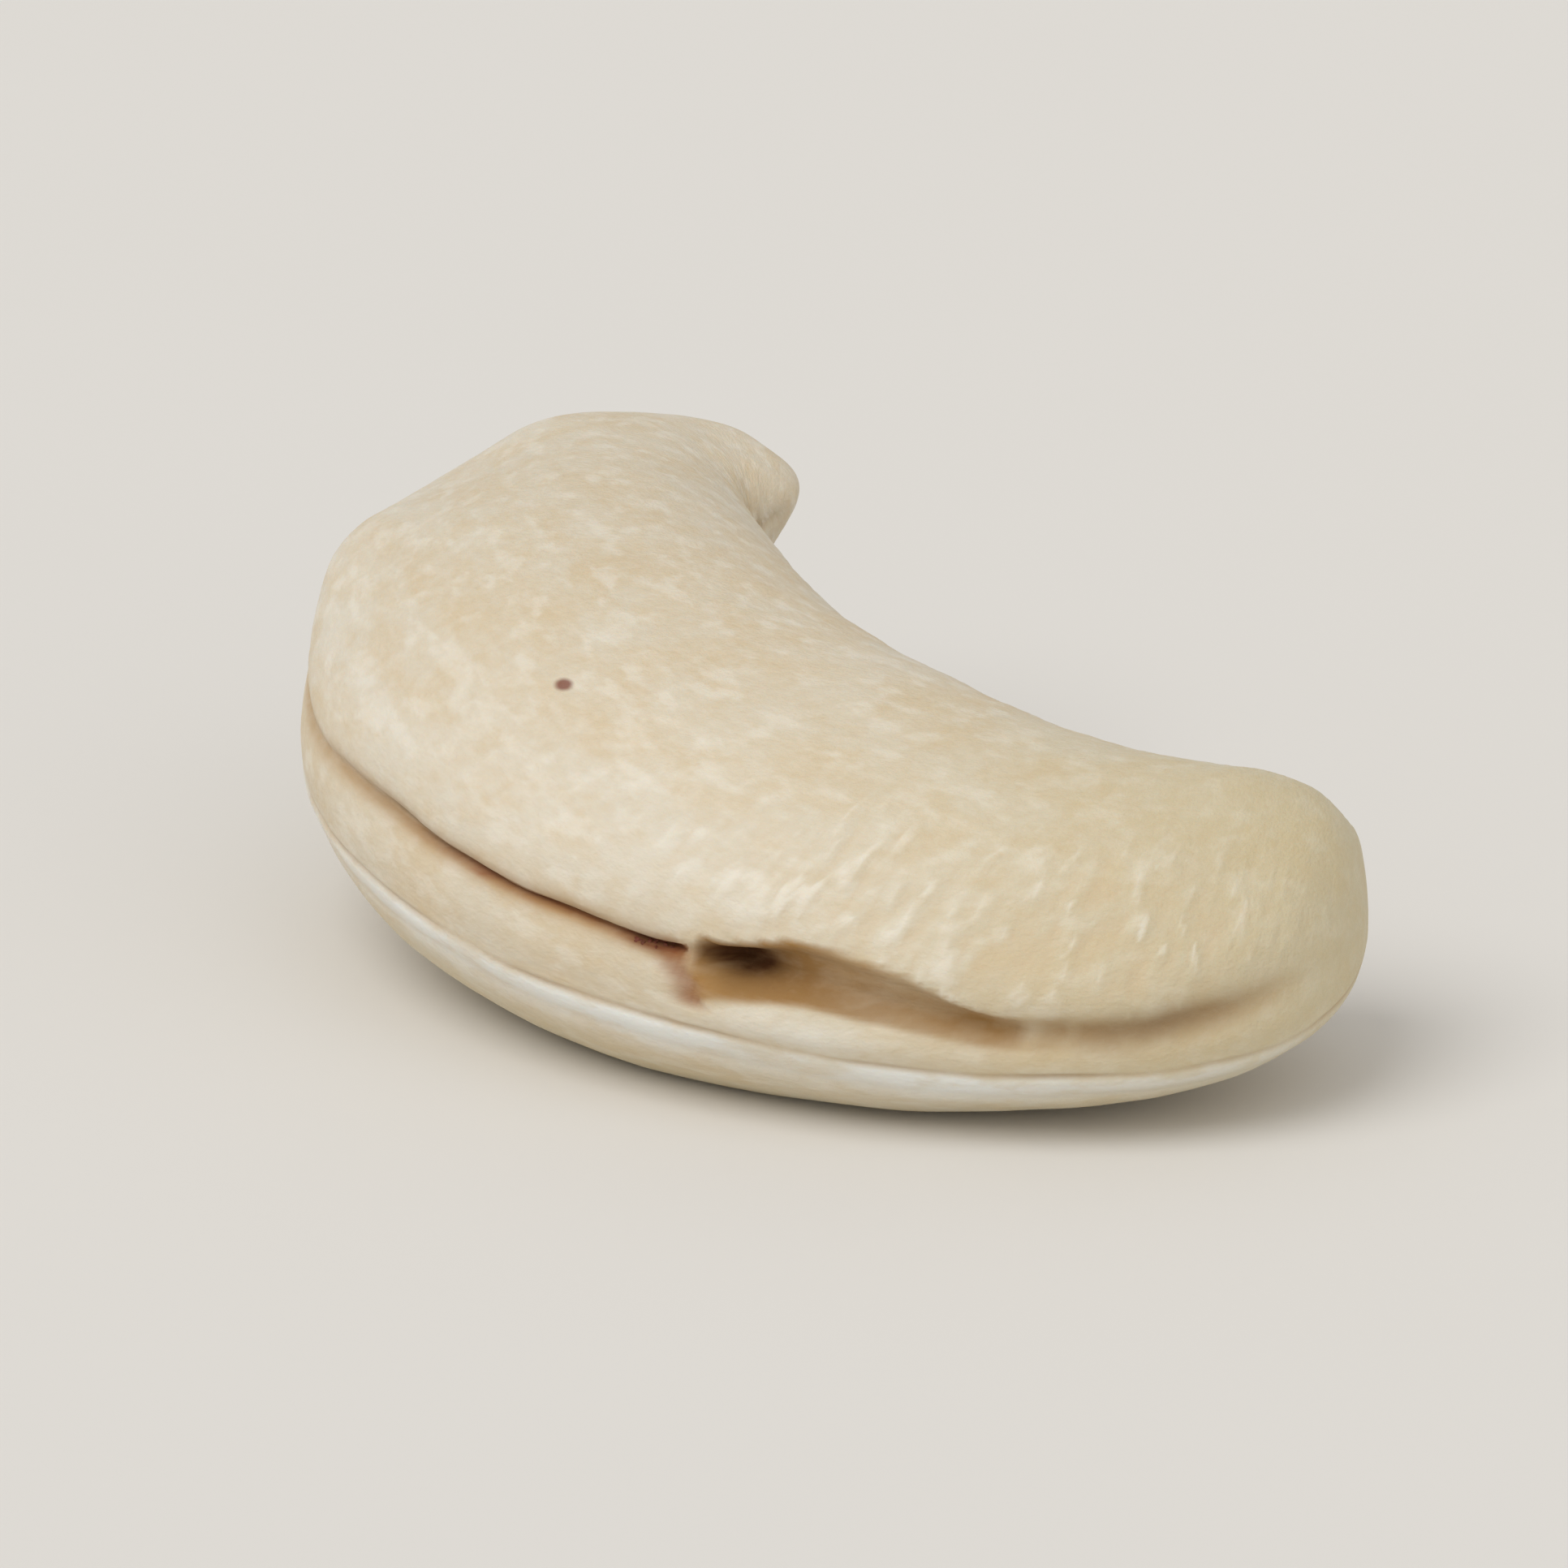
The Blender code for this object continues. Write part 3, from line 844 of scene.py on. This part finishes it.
def relief_tree():
    """Low lumps all over, and wrinkles across the lobe's edge, along the surface's normals."""
    tree, given, made = new_tree(
        "Nut relief", wrinkle_height="Float", wrinkle_spacing="Float", lump_height="Float",
        lump_size="Float", material="Material",
    )

    node = partial(add, tree)

    def unevenness(place, size, distortion=0.0):
        """A noise about zero, with a feature in about each size."""
        pace = node("ShaderNodeMath", {0: 1.0, 1: size}, operation="DIVIDE")
        noise = node("ShaderNodeTexNoise", {
            "Vector": place, "Scale": pace, "Detail": 2.0, "Roughness": 0.45,
            "Distortion": distortion})
        return node("ShaderNodeMath", {0: noise, 1: 0.5}, operation="SUBTRACT")

    unbent = node("GeometryNodeInputNamedAttribute", {"Name": "straight"},
                  data_type="FLOAT_VECTOR")
    metres = node("ShaderNodeVectorMath", {0: unbent, "Scale": MM}, operation="SCALE")
    lumps = unevenness(metres, given["Lump Size"])
    lumps = node("ShaderNodeMath", {0: lumps, 1: given["Lump Height"]}, operation="MULTIPLY")

    slanted = node("ShaderNodeVectorMath", {0: metres, 1: (1.0, 0.0, -WRINKLE_SLANT)},
                   operation="DOT_PRODUCT").outputs["Value"]
    round_nut = node("ShaderNodeSeparateXYZ", {0: metres}).outputs
    across, through_nut = (
        node("ShaderNodeMath", {0: way, 1: WRINKLE_PACE_ROUND}, operation="MULTIPLY")
        for way in (round_nut[1], round_nut[2])
    )
    squeezed = node("ShaderNodeCombineXYZ", {0: slanted, 1: across, 2: through_nut})
    folds = unevenness(squeezed, given["Wrinkle Spacing"], WRINKLE_TWIST)
    creases = folds
    for operation, value, clamp in (
        ("ABSOLUTE", 0.0, False),
        ("MULTIPLY", CREASE_SHARPNESS, True),
        ("POWER", CREASE_POWER, False),
        ("SUBTRACT", 1.0, False),
        ("MULTIPLY", CREASE_DEPTH, False),
    ):
        creases = node("ShaderNodeMath", {0: creases, 1: value}, operation=operation,
                       use_clamp=clamp)
    wrinkles = node("ShaderNodeMath", {0: folds, 1: WRINKLE_STEEPNESS}, operation="MULTIPLY")
    wrinkles = node("ShaderNodeMath", {0: wrinkles, 1: creases}, operation="ADD")
    wrinkled = node("GeometryNodeInputNamedAttribute", {"Name": "wrinkled"}, data_type="FLOAT")
    wrinkles = node("ShaderNodeMath", {0: wrinkles, 1: wrinkled}, operation="MULTIPLY")

    height = node("ShaderNodeMath", {0: wrinkles, 1: given["Wrinkle Height"]},
                  operation="MULTIPLY")
    height = node("ShaderNodeMath", {0: lumps, 1: height}, operation="ADD")
    offset = node("ShaderNodeVectorMath", {0: node("GeometryNodeInputNormal"), "Scale": height},
                  operation="SCALE")
    # The wrinkles' height is kept for the material, which paints a highlight on their crests and
    # shade in their valleys.
    kept = node("GeometryNodeStoreNamedAttribute",
                {"Geometry": given["Geometry"], "Name": "wrinkles", "Value": wrinkles},
                data_type="FLOAT")
    raised = node("GeometryNodeSetPosition", {"Geometry": kept, "Offset": offset})

    # Nothing reaches under the table.
    place = node("ShaderNodeSeparateXYZ", {0: node("GeometryNodeInputPosition")}).outputs
    above = node("ShaderNodeMath", {0: place[2], 1: 0.0}, operation="MAXIMUM")
    place = node("ShaderNodeCombineXYZ", {0: place[0], 1: place[1], 2: above})
    laid = node("GeometryNodeSetPosition", {"Geometry": raised, "Position": place})
    realise(tree, laid, given["Material"], made[0])
    return tree


def crumb_tree():
    """Small flat bits of skin, strewn where the surface says and sunk half into it."""
    tree, given, made = new_tree(
        "Skin crumbs", crumb_size="Float", density="Float", seed="Int", material="Material"
    )
    node = partial(add, tree)
    seed = given["Seed"]
    marked = node("GeometryNodeInputNamedAttribute", {"Name": "crumbs"}, data_type="FLOAT")
    density = node("ShaderNodeMath", {0: marked, 1: given["Density"]}, operation="MULTIPLY")
    strewn = node("GeometryNodeDistributePointsOnFaces",
                  {"Mesh": given["Geometry"], "Density": density, "Seed": seed}).outputs
    bit = node("GeometryNodeMeshIcoSphere", {"Radius": given["Crumb Size"], "Subdivisions": 3})
    size = node("FunctionNodeRandomValue", {0: CRUMB_LEAST, 1: CRUMB_GREATEST, "Seed": seed},
                data_type="FLOAT_VECTOR")
    turn = node("FunctionNodeRandomValue", {2: 0.0, 3: math.tau, "Seed": seed},
                data_type="FLOAT").outputs[1]
    twist = node("ShaderNodeCombineXYZ", {2: turn})
    way = node("FunctionNodeRotateRotation", {0: strewn["Rotation"], 1: twist},
               rotation_space="LOCAL")
    placed = node("GeometryNodeInstanceOnPoints",
                  {"Points": strewn["Points"], "Instance": bit, "Rotation": way, "Scale": size})
    whole = node("GeometryNodeRealizeInstances", {0: placed})

    # Each bit is torn out of round, by noise finer than itself.
    pace = node("ShaderNodeMath", {0: CRUMB_TEAR_PACE, 1: given["Crumb Size"]},
                operation="DIVIDE")
    rough = node("ShaderNodeTexNoise", {"Scale": pace, "Detail": 1.0}).outputs[1]
    rough = node("ShaderNodeVectorMath", {0: rough, 1: (0.5, 0.5, 0.5)}, operation="SUBTRACT")
    rough = node("ShaderNodeVectorMath", {0: rough, "Scale": given["Crumb Size"]},
                 operation="SCALE")
    torn = node("GeometryNodeSetPosition", {"Geometry": whole, "Offset": rough})
    realise(tree, torn, given["Material"], made[0])
    return tree


def new_material(name):
    """A material with its tree and its shader."""
    material = bpy.data.materials.new(name)
    material.use_nodes = True
    return material, material.node_tree, material.node_tree.nodes["Principled BSDF"]


def cashew_flesh(colours):
    """Raw cashew flesh, peeled: creamy and waxy, cloudy inside, stained brown along the rim."""
    material, tree, shader = new_material("peeled_cashew_flesh")
    node = partial(add, tree)
    straight = node("ShaderNodeAttribute", attribute_name="straight").outputs["Vector"]
    marks = {
        name: node("ShaderNodeAttribute", attribute_name=name).outputs["Fac"]
        for name in ("wrinkles", "thin", "chalk", "seam", "stain", "rust", "dark")
    }

    # Each pattern on the unbent nut, as a share.
    patterns = {}
    for name, (scale, detail, low, high, roughness) in PATTERNS.items():
        place = node("ShaderNodeVectorMath", {0: straight, 1: scale}, operation="MULTIPLY")
        noise = node("ShaderNodeTexNoise", {
            "Vector": place, "Scale": 1.0, "Detail": detail, "Roughness": roughness})
        patterns[name] = node("ShaderNodeMapRange", {0: noise, 1: low, 2: high},
                              interpolation_type="SMOOTHSTEP")

    # What the values from low to high of a mark or a pattern become.
    apart = node("ShaderNodeVectorMath", {0: straight, 1: FLECK_AT},
                 operation="DISTANCE").outputs["Value"]
    # The wrinkles' crests get a painted highlight and their valleys painted shade.
    broken, painted_crest_highlight, valley, chalked, fleck, waxy = (
        node("ShaderNodeMapRange", {0: value, 1: low, 2: high, 3: first, 4: last},
             interpolation_type="SMOOTHSTEP")
        for value, (low, high), (first, last) in (
            (patterns["breaks"], (0.0, 1.0), (0.84, 1.0)),
            (marks["wrinkles"], (0.0, 0.65), (0.0, 1.0)),
            (marks["wrinkles"], (0.0, -0.6), (0.0, 1.0)),
            (patterns["streaks"], (0.0, 1.0), (0.95, 0.55)),
            (apart, FLECK_SPAN, (0.0, 1.0)),
            (patterns["fibres"], (0.0, 1.0), (0.46, 0.62)),
        )
    )

    # Clouds a few millimetres long and streaks a millimetre long run lengthwise under curdled
    # specks. Over them lie olive, for thin flesh and painted shade, a painted highlight on the
    # wrinkles' crests and painted shade in their valleys, the chalk, a darker line along the seam,
    # the stains and rust, painted shade in the crack, the split, the valley and the fold, and one
    # dark red fleck of skin.
    tone = (*colours.cream, 1.0)
    for share, strength, over in (
        (patterns["clouds"], 0.56, colours.beige),
        (patterns["streaks"], 0.45, colours.beige),
        (patterns["pale"], 0.39, colours.milk),
        (patterns["curd"], 0.16, colours.milk),
        (marks["thin"], 0.60, colours.olive),
        (painted_crest_highlight, 0.52, colours.milk),
        (valley, 0.55, colours.beige),
        (marks["chalk"], chalked, colours.chalk),
        (marks["seam"], 0.45, colours.stain),
        (marks["stain"], broken, colours.stain),
        (marks["rust"], broken, colours.rust),
        (marks["dark"], broken, colours.dark),
        (fleck, 0.85, colours.skin),
    ):
        share = node("ShaderNodeMath", {0: share, 1: strength}, operation="MULTIPLY",
                     use_clamp=True)
        tone = node("ShaderNodeMix", {0: share, 6: tone, 7: (*over, 1.0)},
                    data_type="RGBA").outputs[2]
    tree.links.new(tone, shader.inputs["Base Color"])

    # Waxy skin: fibres a quarter of a millimetre wide and fine pits, too low to be modelled.
    matt = node("ShaderNodeMath", {0: marks["stain"], 1: 0.3}, operation="MULTIPLY",
                use_clamp=True)
    rough = node("ShaderNodeMath", {0: waxy, 1: matt}, operation="ADD")
    tree.links.new(rough.outputs[0], shader.inputs["Roughness"])
    low = node("ShaderNodeBump", {
        "Height": patterns["fibres"], "Strength": 0.16, "Distance": 0.04 * MM})
    fine = node("ShaderNodeBump", {
        "Height": patterns["pits"], "Strength": 0.35, "Distance": 0.03 * MM, "Normal": low})
    tree.links.new(fine.outputs[0], shader.inputs["Normal"])
    shader.inputs["IOR"].default_value = 1.46
    shader.inputs["Specular IOR Level"].default_value = 0.42
    shader.inputs["Subsurface Weight"].default_value = 0.25
    shader.inputs["Subsurface Radius"].default_value = (1.0, 0.66, 0.42)
    shader.inputs["Subsurface Scale"].default_value = 0.5 * MM
    return material


def brown_skin(colours):
    """Dried seed skin: thin, matt and reddish brown, with specks a sixth of a millimetre wide."""
    material, tree, shader = new_material("dried_seed_skin")
    place = add(tree, "ShaderNodeTexCoord").outputs["Object"]
    noise = add(tree, "ShaderNodeTexNoise", {"Vector": place, "Scale": 6.0 / MM, "Detail": 2.0})
    tone = add(tree, "ShaderNodeMix",
               {0: noise, 6: (*colours.dark, 1.0), 7: (*colours.skin, 1.0)}, data_type="RGBA")
    tree.links.new(tone.outputs[2], shader.inputs["Base Color"])
    shader.inputs["Roughness"].default_value = 0.7
    return material


def table_top(colours):
    """Matt pale board, with a trace of unevenness a centimetre or two wide in its colour."""
    material, tree, shader = new_material("matt_pale_board")
    place = add(tree, "ShaderNodeTexCoord").outputs["Object"]
    noise = add(tree, "ShaderNodeTexNoise", {"Vector": place, "Scale": 60.0, "Detail": 3.0})
    share = add(tree, "ShaderNodeMapRange", {0: noise, 3: 0.0, 4: 0.05})
    tone = add(tree, "ShaderNodeMix",
               {0: share, 6: (*colours.floor, 1.0), 7: (*linear(TABLE_SPECKS), 1.0)},
               data_type="RGBA")
    tree.links.new(tone.outputs[2], shader.inputs["Base Color"])
    shader.inputs["Roughness"].default_value = 0.85
    return material


def new_object(name, mesh):
    """A new object in the scene."""
    item = bpy.data.objects.new(name, mesh)
    bpy.context.scene.collection.objects.link(item)
    return item


def ball_mesh(name, rings, points):
    """A unit ball of even rings, with its points and faces in the same order each time."""
    polar = np.repeat(np.arange(1, rings) * math.pi / rings, points)
    turn = np.tile(np.arange(points) * math.tau / points, rings - 1)
    ball = np.column_stack(
        [np.sin(polar) * np.cos(turn), np.sin(polar) * np.sin(turn), np.cos(polar)]
    )
    top, bottom = len(ball), len(ball) + 1
    ball = np.vstack([ball, (0.0, 0.0, 1.0), (0.0, 0.0, -1.0)])
    last = (rings - 2) * points
    faces = []
    for point in range(points):
        beside = (point + 1) % points
        faces.append((top, point, beside))
        for ring in range(0, last, points):
            below = ring + points
            faces.append((ring + point, below + point, below + beside, ring + beside))
        faces.append((bottom, last + beside, last + point))
    mesh = bpy.data.meshes.new(name)
    mesh.from_pydata(ball.tolist(), [], faces)
    return mesh, ball


class CASHEW_OT_flesh(bpy.types.Operator):
    """Build the flesh of the nut in place of its plain solid"""

    bl_idname = "cashew.flesh"
    bl_label = "Flesh"

    def execute(self, context):
        sizes = context.scene.cashew_sizes
        mesh, ball = ball_mesh("nut_flesh", sizes.rings_along, sizes.points_round)
        points, plain, straight, marks = nut_points(ball, sizes)
        laid = lay_down(points, plain)
        mesh.vertices.foreach_set("co", (laid * MM).ravel())
        unbent = mesh.attributes.new("straight", "FLOAT_VECTOR", "POINT")
        unbent.data.foreach_set("vector", straight.ravel())
        for name, values in marks.items():
            mesh.attributes.new(name, "FLOAT", "POINT").data.foreach_set("value", values)
        mesh.update()
        probe = bmesh.new()
        probe.from_mesh(mesh)
        if probe.calc_volume(signed=True) < 0.0:
            bmesh.ops.reverse_faces(probe, faces=probe.faces)
            probe.to_mesh(mesh)
        probe.free()
        mesh.shade_smooth()
        flesh = new_object("nut_flesh", mesh)
        run_tree(flesh, relief_tree(), {
            "Wrinkle Height": sizes.wrinkle_height,
            "Wrinkle Spacing": sizes.wrinkle_spacing,
            "Lump Height": sizes.lump_height,
            "Lump Size": sizes.lump_size,
            "Material": cashew_flesh(context.scene.cashew_colours),
        })
        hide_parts("kernel")
        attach(flesh, "root")
        return {"FINISHED"}


class CASHEW_OT_crumbs(bpy.types.Operator):
    """Strew bits of dried skin in the rim"""

    bl_idname = "cashew.crumbs"
    bl_label = "Skin crumbs"

    def execute(self, context):
        flesh = bpy.data.objects.get("nut_flesh")
        if flesh is None:
            raise RuntimeError("build the flesh before its crumbs")
        crumbs = new_object("skin_crumbs", flesh.data.copy())
        run_tree(crumbs, crumb_tree(), {
            "Crumb Size": context.scene.cashew_sizes.crumb_size,
            "Density": CRUMBS_PER_SQUARE_METRE,
            "Seed": CRUMB_SEED,
            "Material": brown_skin(context.scene.cashew_colours),
        })
        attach(crumbs, "root")
        return {"FINISHED"}


class CASHEW_OT_stage(bpy.types.Operator):
    """Set the table, the soft lights and the camera"""

    bl_idname = "cashew.stage"
    bl_label = "Stage"

    def execute(self, context):
        scene = context.scene
        stage = scene.cashew_stage
        disc = bmesh.new()
        bmesh.ops.create_circle(disc, cap_ends=True, segments=TABLE_CORNERS, radius=TABLE_RADIUS)
        mesh = bpy.data.meshes.new("table_top")
        disc.to_mesh(mesh)
        disc.free()
        floor = new_object("table_top", mesh)
        mesh.materials.append(table_top(scene.cashew_colours))

        back = Vector((math.sin(stage.azimuth) * math.cos(stage.elevation),
                       -math.cos(stage.azimuth) * math.cos(stage.elevation),
                       math.sin(stage.elevation)))
        right = Vector((math.cos(stage.azimuth), math.sin(stage.azimuth), 0.0))
        lens = bpy.data.cameras.new("camera")
        lens.lens = stage.lens
        lens.sensor_width = SENSOR_WIDTH_MM
        camera = new_object("camera", lens)
        low, high = (Vector(corner) for corner in SOLID_BOX)
        distance = stage.picture_width * stage.lens / lens.sensor_width
        camera.location = (low + high) / 2.0 + back * distance
        camera.rotation_mode = "QUATERNION"
        camera.rotation_quaternion = (-back).to_track_quat("-Z", "Y")
        lens.clip_start, lens.clip_end = CAMERA_SEES
        scene.camera = camera

        up = Vector((0.0, 0.0, 1.0))
        front = back.copy()
        front.z = 0.0
        for name, (up_share, right_share, front_share, spread), strength in (
            ("key_light", KEY_LIGHT, stage.key_strength),
            ("fill_light", FILL_LIGHT, stage.fill_strength),
        ):
            light = bpy.data.lights.new(name, "SUN")
            light.energy = strength
            light.angle = math.radians(spread)
            lamp = new_object(name, light)
            lamp.rotation_mode = "QUATERNION"
            way = up * up_share + right * right_share + front * front_share
            lamp.rotation_quaternion = way.to_track_quat("Z", "Y")
        sky = bpy.data.worlds.new("even_light")
        sky.use_nodes = True
        even = (Vector(SKY_TINT) * stage.sky_strength).to_tuple()
        seen = add(sky.node_tree, "ShaderNodeLightPath").outputs["Is Camera Ray"]
        tone = add(sky.node_tree, "ShaderNodeMix",
                   {0: seen, 6: (*even, 1.0), 7: (*linear(HORIZON), 1.0)}, data_type="RGBA")
        background = sky.node_tree.nodes["Background"]
        sky.node_tree.links.new(tone.outputs[2], background.inputs["Color"])
        scene.world = sky
        scene.view_settings.view_transform = "Standard"
        return {"FINISHED"}


class CASHEW_PT_panel(bpy.types.Panel):
    """The nut's operators and settings"""

    bl_label = "Cashew nut"
    bl_idname = "CASHEW_PT_panel"
    bl_space_type = "VIEW_3D"
    bl_region_type = "UI"
    bl_category = "Cashew"

    def draw(self, context):
        for operator in OPERATORS:
            self.layout.operator(operator.bl_idname)
        scene = context.scene
        for group in (scene.cashew_sizes, scene.cashew_colours, scene.cashew_stage):
            box = self.layout.box()
            for name in group.__annotations__:
                box.prop(group, name)


OPERATORS = (CASHEW_OT_flesh, CASHEW_OT_crumbs, CASHEW_OT_stage)
CLASSES = (CashewSizes, CashewColours, CashewStage, *OPERATORS, CASHEW_PT_panel)


def register():
    """Register the classes and hang the settings on the scene."""
    for item in CLASSES:
        bpy.utils.register_class(item)
    bpy.types.Scene.cashew_sizes = PointerProperty(type=CashewSizes)
    bpy.types.Scene.cashew_colours = PointerProperty(type=CashewColours)
    bpy.types.Scene.cashew_stage = PointerProperty(type=CashewStage)


def unregister():
    """Take the settings and the classes away again."""
    del bpy.types.Scene.cashew_stage
    del bpy.types.Scene.cashew_colours
    del bpy.types.Scene.cashew_sizes
    for item in reversed(CLASSES):
        bpy.utils.unregister_class(item)


def main():
    """Build the nut and its stage."""
    register()
    bpy.ops.cashew.flesh()
    bpy.ops.cashew.crumbs()
    bpy.ops.cashew.stage()


if __name__ == "__main__":
    main()
